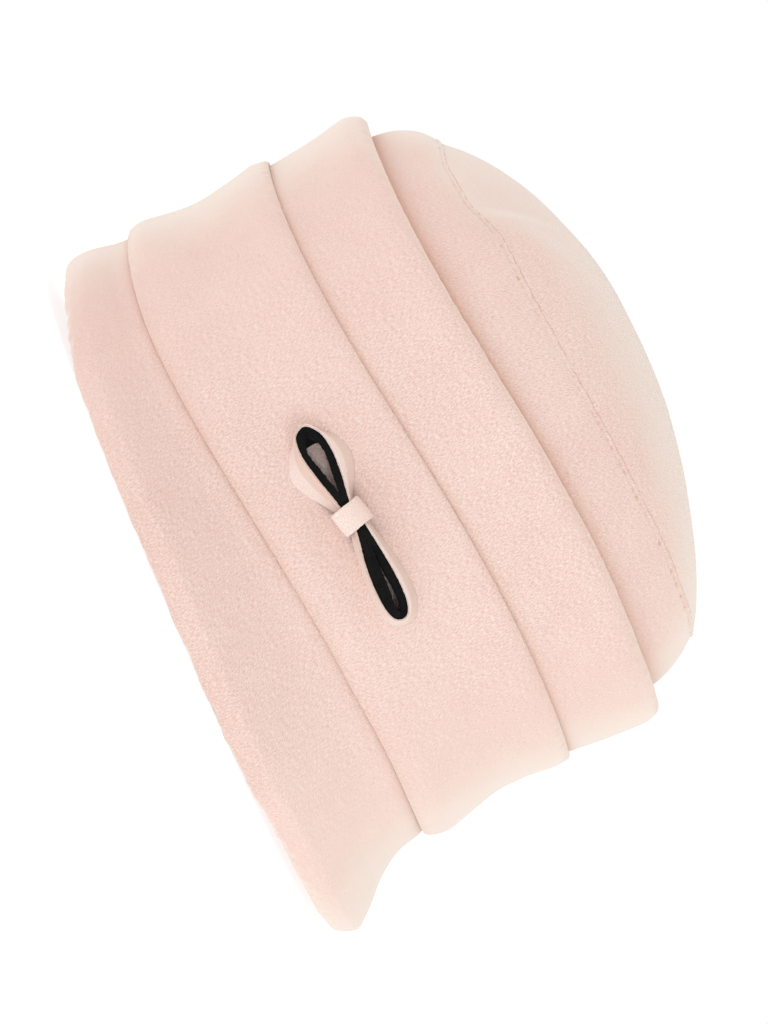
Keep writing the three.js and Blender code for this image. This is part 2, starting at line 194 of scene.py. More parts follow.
def softened(points):
    # The same field moves every wall, so the gaps between them stay
    push = hat["wideSwell"] * waves(points, hat["wideSize"], 3)
    push = push + hat["smallSwell"] * waves(points, hat["smallSize"], 8)
    moved = points + outward(points) * push[..., None]
    moved[..., 2] = np.where(points[..., 2] < hat["evenBelow"], points[..., 2], moved[..., 2])
    return moved


def fuzzyEdge(points, strength, amount=0.12):
    # Tufts of nap along a fold. strength is the share of them that each place gets.
    tufts = waves(points, hat["tuftSize"], 41) + 0.8 * waves(points, hat["tuftClumps"], 42)
    return points + outward(points) * (amount * strength * tufts)[..., None]


def shadeNear(rows, contact, width=0.9, strength=0.5):
    # Painted shade: the felt is coloured darker and browner where the next cloth folds over it
    distance = np.abs(rows[:, level] - contact) / width
    return strength * (0.6 * np.exp(-(distance**2)) + 0.4 * np.exp(-((distance / 3) ** 2)))[None, :]


def gridMesh(name, points, closedAcross=True, shade=None, flatMap=False):
    # points[i, j] runs round the ring by i and along the closed section by j. The map is in metres
    # of cloth, laid flat from above if flatMap. shade, the painted shade of each point, is kept for the materials.
    points = points * mm
    count, width = points.shape[:2]
    here, after = np.arange(count), (np.arange(count) + 1) % count
    spans = width if closedAcross else width - 1
    near, far = np.arange(spans), (np.arange(spans) + 1) % width
    corners = np.stack([
        here[:, None] * width + near, after[:, None] * width + near,
        after[:, None] * width + far, here[:, None] * width + far,
    ], axis=-1).reshape(-1, 4)
    mesh = bpy.data.meshes.new(name)
    mesh.from_pydata(points.reshape(-1, 3).tolist(), [], corners.tolist())

    around = np.linalg.norm(np.roll(points, -1, axis=0) - points, axis=2).mean(axis=1)
    along = np.linalg.norm(np.roll(points, -1, axis=1) - points, axis=2)
    u = np.concatenate([[0], np.cumsum(around)])
    v = np.concatenate([np.zeros((count, 1)), np.cumsum(along, axis=1)], axis=1)
    uFull = np.stack([u[:-1], u[1:], u[1:], u[:-1]], axis=-1)[:, None, :].repeat(spans, axis=1)
    vNear, vFar = v[:, near], v[:, near + 1]
    vFull = np.stack([vNear, vNear[after], vFar[after], vFar], axis=-1)
    layer = mesh.uv_layers.new(name="cloth")
    mapped = np.stack([uFull, vFull], axis=-1)
    if flatMap:
        mapped = points.reshape(-1, 3)[corners.ravel()][:, [0, 1]]
    layer.data.foreach_set("uv", mapped.astype(np.float32).ravel())
    if shade is not None:
        attribute = mesh.attributes.new("worked", "FLOAT", "POINT")
        attribute.data.foreach_set("value", shade.astype(np.float32).ravel())
    mesh.polygons.foreach_set("use_smooth", [True] * len(mesh.polygons))
    piece = bpy.data.objects.new(name, mesh)
    bpy.context.scene.collection.objects.link(piece)
    return piece


def cleaned(piece, unwanted=None, weld=True, turnOut=True):
    # Drops the faces that unwanted picks, welds points that meet, and turns all faces outwards
    shape = bmesh.new()
    shape.from_mesh(piece.data)
    if unwanted:
        bmesh.ops.delete(shape, geom=[face for face in shape.faces if unwanted(face)], context="FACES_ONLY")
    if weld:
        bmesh.ops.remove_doubles(shape, verts=shape.verts, dist=weldWithin)
    if turnOut:
        bmesh.ops.recalc_face_normals(shape, faces=shape.faces)
    shape.to_mesh(piece.data)
    shape.free()
    return piece


def place(piece, node, material):
    piece.data.materials.append(material)
    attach(piece, "root")
    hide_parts(node)
    print(piece.name, len(piece.data.polygons), "faces")
    return piece


def seamAngles(count):  # starts on the wearer's left, where the map's edges hardly show
    return math.pi / 2 + 2 * math.pi * np.arange(count) / count


class Wire:  # one socket of a material, with arithmetic
    def __init__(self, graph, socket):
        self.graph = graph
        self.socket = socket

    def __add__(self, other):
        return self.graph.math("ADD", self, other)

    __radd__ = __add__

    def __sub__(self, other):
        return self.graph.math("SUBTRACT", self, other)

    def __rsub__(self, other):
        return self.graph.math("SUBTRACT", other, self)

    def __mul__(self, other):
        return self.graph.math("MULTIPLY", self, other)

    __rmul__ = __mul__


def setStops(ramp, stops):
    while len(ramp.elements) < len(stops):
        ramp.elements.new(0.5)
    for element, (position, colour) in zip(ramp.elements, stops):
        element.position = position
        element.color = colour


class Graph:
    def __init__(self, name):
        self.material = bpy.data.materials.new(name)
        self.material.use_nodes = True
        self.tree = self.material.node_tree
        self.tree.nodes.clear()

    def node(self, kind, settings=None, inputs=None, output=0):
        made = self.tree.nodes.new(kind)
        for key, value in (settings or {}).items():
            if key == "stops":
                setStops(made.color_ramp, value)
            else:
                setattr(made, key, value)
        for key, value in (inputs or {}).items():
            if isinstance(value, Wire):
                self.tree.links.new(value.socket, made.inputs[key])
            else:
                made.inputs[key].default_value = value
        return Wire(self, made.outputs[output]) if len(made.outputs) else made

    def math(self, operation, first, second=0.0, third=0.0):
        inputs = {0: first, 1: second, 2: third}
        return self.node("ShaderNodeMath", {"operation": operation}, inputs)

    def mixColour(self, factor, first, second):
        inputs = {"Factor": factor, 6: first, 7: second}
        return self.node("ShaderNodeMix", {"data_type": "RGBA"}, inputs, output=2)

    def remap(self, value, limits, atLow, atHigh, kind="LINEAR"):
        inputs = {0: value, 1: limits[0], 2: limits[1], 3: atLow, 4: atHigh}
        return self.node("ShaderNodeMapRange", {"interpolation_type": kind}, inputs)

    def strokes(self, vector, width, length, turn):
        inputs = {"Vector": vector, "Rotation": (0, 0, turn), "Scale": (width, length, 1)}
        return self.node("ShaderNodeMapping", {"vector_type": "TEXTURE"}, inputs)

    def noise(self, vector, scale, detail=2.0, roughness=0.5):
        inputs = {"Vector": vector, "Scale": scale, "Detail": detail, "Roughness": roughness}
        return self.node("ShaderNodeTexNoise", {}, inputs)

    def finish(self, shader):
        self.node("ShaderNodeOutputMaterial", {}, {"Surface": shader})
        return self.material


# The nap lies flat towards the back and the front, between these metres along the hat
napAtBack = (-0.12, -0.035)
napAtFront = (0.055, 0.095)


def feltMaterial(name, look):
    graph = Graph(name)
    cloth = graph.node("ShaderNodeTexCoord", output=2)  # metres of cloth
    space = graph.node("ShaderNodeTexCoord", output=3)  # metres of the hat
    # The attribute holds the painted shade of each point
    worked = graph.node("ShaderNodeAttribute", {"attribute_name": "worked"}, output=2)
    along = graph.node("ShaderNodeSeparateXYZ", {}, {0: space})
    atBack = graph.remap(along, napAtBack, look["backNap"], 1)
    atFront = graph.remap(along, napAtFront, 1, look["frontNap"])
    fullness = atBack * atFront
    grain = graph.noise(cloth, 1 / look["grainSize"], 2, 0.6) - 0.5
    brushed = graph.strokes(cloth, look["strokeWidth"], look["strokeLength"], look["strokeTurn"])
    strokes = graph.noise(brushed, 1, 1, 0.5) - 0.5
    mottle = graph.noise(space, 1 / look["mottleSize"], 3, 0.55) - 0.5
    cloud = graph.noise(space, 1 / look["cloudSize"], 1, 0.5) - 0.5
    fine = (grain * look["grainColour"] + strokes * look["strokeColour"]) * fullness
    tone = fine + mottle * look["mottleColour"] + cloud * look["cloudColour"] + 0.5
    colour = graph.node("ShaderNodeValToRGB", {"stops": [
        (0.0, (*look["deep"], 1)), (0.5, (*look["colour"], 1)), (1.0, (*look["pale"], 1)),
    ]}, {"Fac": tone})
    # Painted sheen: the colour turns paler where the surface is seen at a grazing angle
    facing = graph.node("ShaderNodeLayerWeight", {}, {"Blend": 0.5}, output=1)
    paintedSheenAmount = graph.remap(facing, look["paintedSheenFacing"], 0, look["paintedSheenShare"], "SMOOTHSTEP")
    colour = graph.mixColour(paintedSheenAmount * (1 - worked), colour, (*look["paintedSheen"], 1))  # painted sheen of the nap, left out where shade is painted
    # Painted shade: the colour is mixed towards a darker brown where the attribute says
    colour = graph.mixColour(worked * look["paintedShadeShare"], colour, (*look["worked"], 1))
    height = (grain * 0.5 + strokes * 0.5) * fullness + mottle * look["mottleRelief"]
    normal = graph.node("ShaderNodeBump", {}, {
        "Strength": look["reliefStrength"], "Distance": look["relief"], "Height": height,
    })
    shader = graph.node("ShaderNodeBsdfPrincipled", {}, {
        "Base Color": colour, "Roughness": look["roughness"], "Specular IOR Level": look["specular"],
        "Sheen Weight": look["sheen"], "Sheen Roughness": look["sheenRoughness"],
        "Sheen Tint": (*look["sheenTint"], 1), "Normal": normal,
    })
    return graph.finish(shader)


pinkLook = {
    "colour": (0.777, 0.560, 0.500), "deep": (0.695, 0.460, 0.398), "pale": (0.842, 0.672, 0.615),
    # The colour and share of the painted shade, then the colour, facing range and share of the painted sheen
    "worked": (0.68, 0.41, 0.29), "paintedShadeShare": 0.8,
    "paintedSheen": (0.83, 0.70, 0.625), "paintedSheenFacing": (0.35, 0.9), "paintedSheenShare": 0.8,
    "grainSize": 0.0005, "grainColour": 1.7,
    "strokeWidth": 0.00042, "strokeLength": 0.0014, "strokeTurn": 0.2, "strokeColour": 1.7,
    "backNap": 0.45, "frontNap": 0.45,  # how strong the nap shows where it lies flat
    "mottleSize": 0.014, "mottleColour": 0.3, "mottleRelief": 0.5,
    "cloudSize": 0.07, "cloudColour": 0.3,
    "relief": 0.00045, "reliefStrength": 0.9,
    "roughness": 0.95, "specular": 0.15,
    "sheen": 0.4, "sheenRoughness": 0.5, "sheenTint": (0.97, 1.0, 0.92),
}
blackLook = {
    "colour": (0.0052, 0.0047, 0.0047), "deep": (0.0028, 0.0025, 0.0025), "pale": (0.016, 0.015, 0.015),
    # The colour and share of the painted shade, then the colour, facing range and share of the painted sheen
    "worked": (0.012, 0.011, 0.011), "paintedShadeShare": 0.0,
    "paintedSheen": (0.02, 0.02, 0.022), "paintedSheenFacing": (0.5, 0.95), "paintedSheenShare": 0.5,
    "grainSize": 0.0004, "grainColour": 1.6,
    "strokeWidth": 0.0003, "strokeLength": 0.0007, "strokeTurn": 0.3, "strokeColour": 1.0,
    "backNap": 1.0, "frontNap": 1.0,
    "mottleSize": 0.003, "mottleColour": 0.6, "mottleRelief": 0.5,
    "cloudSize": 0.03, "cloudColour": 0.2,
    "relief": 0.0003, "reliefStrength": 0.8,
    "roughness": 0.95, "specular": 0.1,
    "sheen": 0.03, "sheenRoughness": 0.5, "sheenTint": (0.95, 0.92, 0.9),
}
bandLook = {**pinkLook, "grainColour": 2.2, "strokeColour": 2.3, "backNap": 0.28}  # a fuller nap
brimLook = {**bandLook, "grainSize": 0.0004, "grainColour": 3.0, "backNap": 0.2}
bowLook = {
    **pinkLook,
    # Paler than the hat's felt: painted light for the bow's leaves, which catch more light than the band
    "colour": (0.84, 0.665, 0.605), "deep": (0.77, 0.575, 0.515), "pale": (0.89, 0.76, 0.71),
    # the colour of the painted shade, and the share of the painted sheen
    "worked": (0.68, 0.46, 0.37), "paintedSheenShare": 0.1,
    "grainSize": 0.0004, "strokeWidth": 0.00035, "strokeLength": 0.0009,
    "mottleSize": 0.006, "sheen": 0.25,
}
pinkFelt = feltMaterial("pinkFelt", pinkLook)
bandFelt = feltMaterial("bandFelt", bandLook)
brimFelt = feltMaterial("brimFelt", brimLook)
bowFelt = feltMaterial("bowFelt", bowLook)
blackFelt = feltMaterial("blackFelt", blackLook)
print("materials made")

brim = {
    "face": [
        (8.0, 0.8, 0, 1.0, 123.3, 110.5, 130.7),
        (13.0, 3.0, 0, 0.7, 123.2, 106.2, 125.6),
        (17.5, 7.0, 0, 0.5, 122.8, 101.6, 118.0),
        (22.5, 12.0, 0, 0.4, 122.0, 97.4, 111.6),
        (28.2, 16.0, 0, 0.4, 120.9, 95.0, 107.9),
        (43.0, 16.5, 0, 0.0, 119.8, 89.9, 98.3),
    ],
    "rimOuter": (0, 0, 0, 1, 120.1, 106.4, 125.4),
    "rimInner": (0, 0, 0, 1, 118.0, 103.4, 121.6),
    "facing": [
        (4.0, 1.0, 0, 1.0, 116.9, 100.2, 117.0),
        (16.0, 7.0, 0, 0.4, 116.4, 91.6, 105.8),
        (33.2, 16.0, 0, 0.0, 116.3, 86.8, 95.6),
    ],
    "around": 520,
    "edgeWave": 0.3,  # unevenness of the rim's line
    "edgeSizes": (7, 30),
    "edgeHeights": (2, 16),
    "puff": 0.9,  # how much the thick felt fills the fold above it
    "puffHeights": (22, 29),
    # painted shade lies at this height, under the middle band's fold
    "shadedAt": 29.6,
}


def makeBrim():
    felt = hat["felt"]
    face, facing = np.array(brim["face"]), np.array(brim["facing"])
    outer = smoothRows([brim["rimOuter"], *quarterTurn(face[0], np.array(brim["rimOuter"]))[::-1], *face])
    inside = smoothRows([brim["rimInner"], *facing], 2.5)
    behindFace = straightRows(inset(face, felt)[::-1])
    floorIn = straightRows([inset(brim["rimOuter"], 0.4, felt), inset(brim["rimInner"], -0.4, felt)])
    behindFacing = smoothRows(inset(facing, -felt), 5)
    rows = np.concatenate([outer, behindFace, floorIn, behindFacing, inside[::-1]])
    isOuter = np.arange(len(rows)) < len(outer)
    puff = brim["puff"] * smoothStep(rows[:, level], *brim["puffHeights"]) * isOuter
    rows[:, [back, side, front]] += puff[:, None]
    points = softened(ringPoints(rows, seamAngles(brim["around"])))
    small, wide = brim["edgeSizes"]
    nearRim = 1 - smoothStep(points[..., 2], *brim["edgeHeights"])
    edge = np.abs(waves(points, small, 21)) + 0.8 * np.abs(waves(points, wide, 22))
    points[..., 2] += brim["edgeWave"] * nearRim * edge
    # Painted shade under the middle band's fold
    shade = shadeNear(rows, brim["shadedAt"], 0.7, 0.4) * np.ones((len(points), 1))
    return place(gridMesh("brim_felt", points, shade=shade), "brim", brimFelt)


middleBand = {
    "face": [
        (39.0, 16.0, 0, 0, 125.8, 99.2, 112.2),
        (58.0, 16.4, 0, 0, 124.7, 95.9, 106.8),
        (70.0, 16.7, 0, 0, 126.9, 96.2, 105.8),
        (80.5, 17.0, 0, 0, 129.3, 97.4, 106.6),
    ],
    "underDrop": 9.6, "underCrest": 3.3, "underWidth": 3.9, "underReturn": 10, "underLift": 0.4,
    "topHeight": 6.4, "topCrest": 2.0, "topWidth": 2.6, "topFrom": 0.45,
    "around": 720,
    "lowerFold": (33, 29.6),  # heights over which each fold begins
    "upperFold": (83, 86),
    # strength of the painted shade along both folds
    "foldShade": 0.12,
}


def makeMiddleBand():
    felt, band = hat["felt"], middleBand
    face = np.array(band["face"], float)
    bulge, shoulder = face[0], face[-1]
    under = inset(bulge, band["underCrest"], -band["underDrop"])
    under[lift] = band["underLift"]
    crest = inset(shoulder, band["topCrest"], band["topHeight"])
    foot = inset(between(face[2], shoulder, band["topFrom"]), band["topWidth"])
    returnRise = band["underReturn"] - band["underDrop"]
    outer = smoothRows([
        under, *quarterTurn(bulge, under)[::-1], *face, *quarterTurn(shoulder, crest, 6), crest,
    ])
    hidden = straightRows([
        inset(shoulder, band["topWidth"], band["topHeight"] - felt / 2),
        foot, inset(foot, felt - band["topWidth"], -felt),
        inset(face[1], felt), inset(bulge, felt), inset(under, -felt / 2, felt),
        inset(bulge, band["underWidth"] - felt, returnRise), inset(bulge, band["underWidth"], returnRise),
        inset(under, band["underWidth"] - band["underCrest"], felt / 2),
    ])
    points = softened(ringPoints(np.concatenate([outer, hidden]), seamAngles(band["around"])))
    fold = np.zeros(points.shape[:2])
    lowFrom, lowTo = band["lowerFold"]
    lowerFold = smoothStep(-outer[:, level], -lowFrom, -lowTo)
    fold[:, :len(outer)] = np.maximum(lowerFold, smoothStep(outer[:, level], *band["upperFold"]))
    # The folds get tufts and painted shade
    piece = gridMesh("middle_band_felt", fuzzyEdge(points, fold), shade=band["foldShade"] * fold)
    return place(piece, "middle_band", bandFelt)


upperBand = {
    "face": [
        (74.0, 17.0, 0, 0, 125.0, 93.5, 103.0),
        (86.7, 17.0, 0, 0, 126.4, 94.5, 103.7),
        (105.0, 15.5, 0, 0, 128.6, 96.3, 104.5),
        (116.3, 15.0, 0, 0, 130.7, 98.0, 104.8),
    ],
    "rollHeight": 7.4, "rollCrest": 5.0, "rollWidth": 9.5, "rollReturn": 10,
    "around": 720,
    "fold": (120, 123),  # heights over which the roll begins
    # painted shade lies on the face at this height, under the middle band's fold; foldShade paints shade along the
    # roll
    "shadedAt": 87.2,
    "shadedRows": 20,  # of the face, so the roll's inside isn't shaded
    "foldShade": 0.2,
}


def makeUpperBand():
    felt, band = hat["felt"], upperBand
    face = np.array(band["face"], float)
    shoulder = face[-1]
    crest = inset(shoulder, band["rollCrest"], band["rollHeight"])
    inner = inset(shoulder, band["rollWidth"])
    foot = inset(inner, 0, -band["rollReturn"])
    underCrest = inset(crest, 0, -felt)
    outer = smoothRows([
        *face, *quarterTurn(shoulder, crest), crest, *quarterTurn(inner, crest)[::-1], inner, foot,
    ])
    hidden = straightRows([
        inset(foot, -felt), inset(inner, -felt), *quarterTurn(inset(inner, -felt), underCrest, 4), underCrest,
        *quarterTurn(inset(shoulder, felt), underCrest, 4)[::-1], inset(shoulder, felt),
        inset(face[2], felt), inset(face[1], felt), inset(face[0], felt),
    ])
    points = softened(ringPoints(np.concatenate([outer, hidden]), seamAngles(band["around"])))
    fold, shade = np.zeros(points.shape[:2]), np.zeros(points.shape[:2])
    fold[:, :len(outer)] = smoothStep(outer[:, level], *band["fold"])
    # Painted shade under the middle band's fold and along the roll
    shade[:, :len(outer)] = shadeNear(outer, band["shadedAt"]) * (np.arange(len(outer)) < band["shadedRows"])
    shade = np.maximum(shade, band["foldShade"] * fold)
    piece = gridMesh("upper_band_felt", fuzzyEdge(points, fold), shade=shade)
    return place(piece, "upper_band", bandFelt)


crownSide = {
    "face": [
        (145.7, 14.3, 1.0, 0, 109.0, 76.6, 82.1),
        (143.0, 14.0, 1.0, 0, 112.9, 79.4, 84.4),
        (139.0, 14.0, 0.8, 0, 116.6, 82.2, 87.4),
        (132.0, 14.0, 0.4, 0, 119.8, 85.6, 91.0),
        (124.0, 14.0, 0.0, 0, 120.9, 87.5, 93.3),
        (112.0, 14.5, 0.0, 0, 120.9, 87.9, 93.9),
        (33.5, 16.0, 0.0, 0, 117.7, 88.2, 97.0),
    ],
    "around": 800,
    "fineFor": 6,  # height below the seam that keeps all its rows
    "edgeRound": 0.75,  # how far each cloth rolls over into the seam
    "edgeDepth": 0.25,
    "stitchPitch": 3.2,
    "stitchBelowSeam": (3.2, 1.9),  # at the back and at the front
    "stitchDepth": 0.5,
    "stitchWidth": 0.5,
    "puff": 0.5,
    # seamShade is the painted shade along the seam; shadedAt and shadedWidth place painted shade just above the
    # roll
    "seamShade": 0.6,
    "seamWander": 0.1,
    "shadedAt": 123.4,
    "shadedWidth": 1.4,
}


def seamRoll(distance, roundness, depth):
    # How deep the cloth sinks at a distance from its seamed edge
    share = np.clip(1 - distance / roundness, 0, 1)
    return depth * (1 - np.sqrt(1 - share**2))


def seamShade(edge, distance):
    # Painted shade along the seam's line, broken where the nap covers it
    parted = np.clip(0.5 + 0.5 * waves(edge, 2.6, 51) + 0.35 * waves(edge, 11, 52), 0.05, 1)
    return crownSide["seamShade"] * parted * np.exp(-((distance / 0.4) ** 2))


def seamWander(edge, distance):
    # Both cloths move together, so the seam stays closed
    shift = crownSide["seamWander"] * (waves(edge, 4, 55) + 0.6 * waves(edge, 1.8, 56))
    return shift * np.exp(-((distance / 1.2) ** 2))


def stitchDistance(points):
    atBack, atFront = crownSide["stitchBelowSeam"]
    return atBack + (atFront - atBack) * smoothStep(points[..., 0], -75, 25)


def makeCrownSide():
    felt, wall = hat["felt"], crownSide
    face = np.array(wall["face"], float)
    fine = splineThrough(face[:6], 0.45, rowMeasure)
    heights = np.abs(fine[:, level] - fine[0, level])
    thinned = [row for order, row in enumerate(fine) if heights[order] < wall["fineFor"] or order % 3 == 0]
    outer = np.concatenate([thinned, straightRows([face[5], face[6]])[1:]])
    inner = straightRows([inset(face[row], felt) for row in (6, 4, 2, 0)], 3)
    angles = seamAngles(wall["around"])
    points = softened(ringPoints(np.concatenate([outer, inner]), angles))
    skin = points[:, :len(outer)]
    steps = np.linalg.norm(np.diff(skin, axis=1), axis=2)
    distance = np.concatenate([np.zeros((len(angles), 1)), np.cumsum(steps, axis=1)], axis=1)
    around = np.cumsum(np.linalg.norm(np.roll(skin[:, 0], -1, axis=0) - skin[:, 0], axis=1))
    stitchAt = stitchDistance(skin)
    groove = np.exp(-((distance - stitchAt) / wall["stitchWidth"]) ** 2)
    pitches = round(around[-1] / wall["stitchPitch"])
    holes = 0.5 + 0.5 * np.cos(2 * math.pi * pitches * around / around[-1])[:, None]
    holes = holes * np.clip(0.7 + 0.4 * waves(skin[:, :1], 7, 31), 0.1, 1.3)
    puff = wall["puff"] * np.exp(-((distance - stitchAt * 0.5) / (stitchAt * 0.3)) ** 2)
    sink = seamRoll(distance, wall["edgeRound"], wall["edgeDepth"])
    sink = sink + wall["stitchDepth"] * groove * (0.45 + 0.8 * holes**2) - puff
    skin[..., 2] += seamWander(skin[:, :1].copy(), distance)
    skin -= outward(skin) * sink[..., None]
    # Painted shade in the stitch holes, along the seam and just above the upper band's roll
    shade = np.zeros(points.shape[:2])
    shade[:, :len(outer)] = np.clip(0.9 * groove**2 * holes**3 + seamShade(skin[:, :1], distance), 0, 1)
    shade[:, :len(outer)] += shadeNear(outer, wall["shadedAt"], wall["shadedWidth"], 1.0)
    return place(gridMesh("crown_side_felt", points, shade=shade), "crown_side", pinkFelt)


crownTip = {
    "topHeight": 182.1,
    "topAlong": -11,
    "back": (2.35, 0.13),  # power of the fall, and the share of it kept for the turn by the seam
    "side": (2.15, 0.16),
    "front": (1.75, 0.12),
    "turnPower": 10,
    "gap": -0.03,  # the two cloths press together in the seam
    "around": 720,
    "edgeSteps": (0, 0.15, 0.3, 0.5, 0.75, 1.05, 1.4, 1.9, 2.6, 3.5),  # millimetres in from the seam
    "spokes": 46,
    "innerSpokes": 22,
    "innerSink": 0.8,
    "crease": (-74.5, 18, 146, 30, 1.8),  # starts at x and bends forward by, from a height, over, power
    "creaseWidth": 7,
    "facetRound": 0.22,  # the cloth behind the crease is nearly flat, but for this share at the middle
    "bulgeHeight": 0.5,  # of the cloth just in front of the crease
    "bulgeAt": 5,
    "bulgeWidth": 8,
}


def domePoints(edge, top, shares, angles):
    rim = ringPoints(edge, angles)[:, 0]
    along = np.cos(angles)[:, None]
    ends = np.where(along[..., None] > 0, np.array(crownTip["front"]), np.array(crownTip["back"]))
    shape = np.array(crownTip["side"]) + (ends - np.array(crownTip["side"])) * along[..., None] ** 2
    fall, turn = shape[..., 0], shape[..., 1]
    drop = (1 - turn) * shares**fall + turn * shares ** crownTip["turnPower"]
    x = crownTip["topAlong"] + (rim[:, :1] - crownTip["topAlong"]) * shares
    y = rim[:, 1:2] * shares
    z = top - (top - rim[:, 2:]) * drop
    inFront = aheadOfCrease(x, z)
    facet = facetHeight(x, y, rim, top)
    behind = smoothStep(-inFront, 0, crownTip["creaseWidth"]) * (y < 0)
    z = z + behind * np.minimum(facet - z, 0)
    points = np.stack([x, y, z], axis=-1)
    bulge = np.exp(-(((inFront - crownTip["bulgeAt"]) / crownTip["bulgeWidth"]) ** 2)) * smoothStep(-y, 10, 40)
    bulge = crownTip["bulgeHeight"] * bulge * smoothStep(1 - shares, 0, 0.12)
    return points + outward(points) * bulge[..., None]


def aheadOfCrease(x, z):
    startX, bend, startZ, over, power = crownTip["crease"]
    return x - startX - bend * np.clip((z - startZ) / over, 0, 1.3) ** power


def facetHeight(x, y, rim, top):
    # Height of the cloth behind the crease, which falls evenly from the middle to the seam
    right = rim[rim[:, 1] <= 0.1]
    right = right[np.argsort(right[:, 0])]
    seamY, seamZ = (np.interp(x, right[:, 0], right[:, axis]) for axis in (1, 2))
    fall, turn = crownTip["back"]
    share = np.clip((crownTip["topAlong"] - x) / (crownTip["topAlong"] - right[0, 0]), 0, 1)
    middle = top - (top - right[0, 2]) * ((1 - turn) * share**fall + turn * share ** crownTip["turnPower"])
    across, soft = np.clip(y / np.minimum(seamY, -0.5), 0, 1), crownTip["facetRound"]
    share = (np.sqrt(across**2 + soft**2) - soft) / (math.sqrt(1 + soft**2) - soft)
    return middle - (middle - seamZ) * share


def makeCrownTip():
    felt, dome = hat["felt"], crownTip
    angles = seamAngles(dome["around"])
    edge = inset(crownSide["face"][0], 0, dome["gap"])
    reach = 0.5 * (crownSide["face"][0][side] + crownSide["face"][0][back])
    nearEdge = 1 - np.array(dome["edgeSteps"]) / reach
    spokes = np.linspace(0, nearEdge[-1], dome["spokes"])[:-1] ** 0.85 * nearEdge[-1] ** 0.15
    shares = np.concatenate([spokes, nearEdge[::-1]])
    skin = softened(domePoints(edge, dome["topHeight"], shares, angles))
    steps = np.linalg.norm(np.diff(skin, axis=1), axis=2)
    fromEdge = np.cumsum(steps[:, ::-1], axis=1)[:, ::-1]
    fromEdge = np.concatenate([fromEdge, np.zeros((len(angles), 1))], axis=1)
    skin[..., 2] += seamWander(skin[:, -1:].copy(), fromEdge)
    skin -= outward(skin) * seamRoll(fromEdge, crownSide["edgeRound"], crownSide["edgeDepth"])[..., None]
    innerShares = np.linspace(1, 0, dome["innerSpokes"])
    inner = softened(domePoints(inset(edge, felt), dome["topHeight"] - felt, innerShares, angles))
    inner = inner - outward(inner) * (dome["innerSink"] * smoothStep(1 - innerShares, 0, 0.1))[None, :, None]
    shade = np.zeros((len(angles), len(shares) + len(innerShares)))
    # Painted shade along the seam
    shade[:, :len(shares)] = seamShade(skin[:, -1:], fromEdge)
    points = np.concatenate([skin, inner], axis=1)
    piece = gridMesh("crown_tip_felt", points, closedAcross=False, shade=shade, flatMap=True)
    return place(cleaned(piece, turnOut=False), "crown_tip", pinkFelt)


makeBrim()
makeMiddleBand()
makeUpperBand()
makeCrownSide()
makeCrownTip()
print("walls made")

bow = {
    "along": -1.7, "up": 67.5,
    "strip": 0.8, "gap": 0.12,
    "width": 9.7,
    "steps": 260,
    "knotLength": 8.8, "knotHeight": 11.4, "knotDepth": 13.1, "knotFelt": 1.3, "knotCorner": 2.4,
    "knotLean": 16,  # degrees
    "offBand": 0.3, "underKnot": 5, "onBand": 12, "footGap": 0.03,
    "spread": 0.3, "footShare": 0.25,  # the strip widens at its foot, over this share of its width
    "cutLine": (0.68, 0.5),  # where the strip's two layers part, as shares of its thickness
    "roughStrip": 0.03, "roughLining": 0.07,
    "leafShade": 0.7, "knotShade": 0.6,  # how strongly painted shade darkens the sides that face up
}
# Columns: where the free edge lies (along, up), where the edge on the hat lies (along, up), and
# how thick the black felt inside is
rearLoop = {
    "turn": 1,
    "pressed": 0.72,  # share of its height that the strip keeps
    "pressedAlong": (5, 14),
    "stations": [
        (-1.0, 1.8, -1.0, 2.0, 0.9), (-6.5, 2.1, -6.0, 2.3, 2.3), (-16.0, 3.0, -13.3, 6.0, 2.75),
        (-23.5, 3.0, -19.5, 7.5, 2.5), (-30.0, 1.4, -26.5, 5.2, 2.6), (-34.3, -2.9, -30.7, -2.1, 3.2),
        (-32.2, -7.2, -28.0, -9.8, 2.8), (-25.5, -8.3, -18.5, -13.9, 2.2), (-16.0, -6.4, -12.4, -11.3, 2.5),
        (-6.5, -3.6, -6.0, -6.5, 2.3), (-0.5, -2.2, -0.5, -2.6, 0.9),
    ],
}
frontLoop = {
    "turn": -1,
    "pressed": 1,
    "pressedAlong": (5, 14),
    "stations": [
        (1.2, 3.4, 1.2, 3.6, 0.8), (7.5, 4.3, 7.5, 5.1, 2.6), (16.5, 5.6, 16.5, 7.3, 3.3),
        (25.5, 6.5, 26.0, 8.9, 3.0), (33.2, 6.2, 34.4, 8.3, 2.8), (37.2, 4.5, 38.7, 5.6, 2.9),
        (38.2, 1.9, 39.5, 2.2, 3.0), (37.3, -0.5, 38.6, -1.2, 3.0), (34.2, -2.2, 36.0, -3.3, 3.1),
        (26.5, -3.2, 27.5, -4.6, 4.3), (16.5, -2.9, 16.5, -4.2, 4.0),
        (8.0, -1.6, 8.0, -3.2, 2.6), (1.8, -0.8, 1.8, -1.2, 0.8),
    ],
}


def bandFace(x, z):
    # Distance of the middle band's face from the centre plane, on the wearer's right
    rows = smoothRows(middleBand["face"], 1.0)
    angles = np.linspace(1.15 * math.pi, 1.85 * math.pi, 320)
    grid = softened(ringPoints(rows, angles))
    flat = grid.reshape(-1, 3)
    found = []
    for px, pz in zip(np.ravel(x), np.ravel(z)):
        gap = (flat[:, 0] - px) ** 2 + (flat[:, 2] - pz) ** 2
        near = np.argsort(gap)[:4]
        weight = 1 / (gap[near] + 1e-6)
        found.append(-np.sum(flat[near, 1] * weight) / weight.sum())
    return np.reshape(found, np.shape(x))


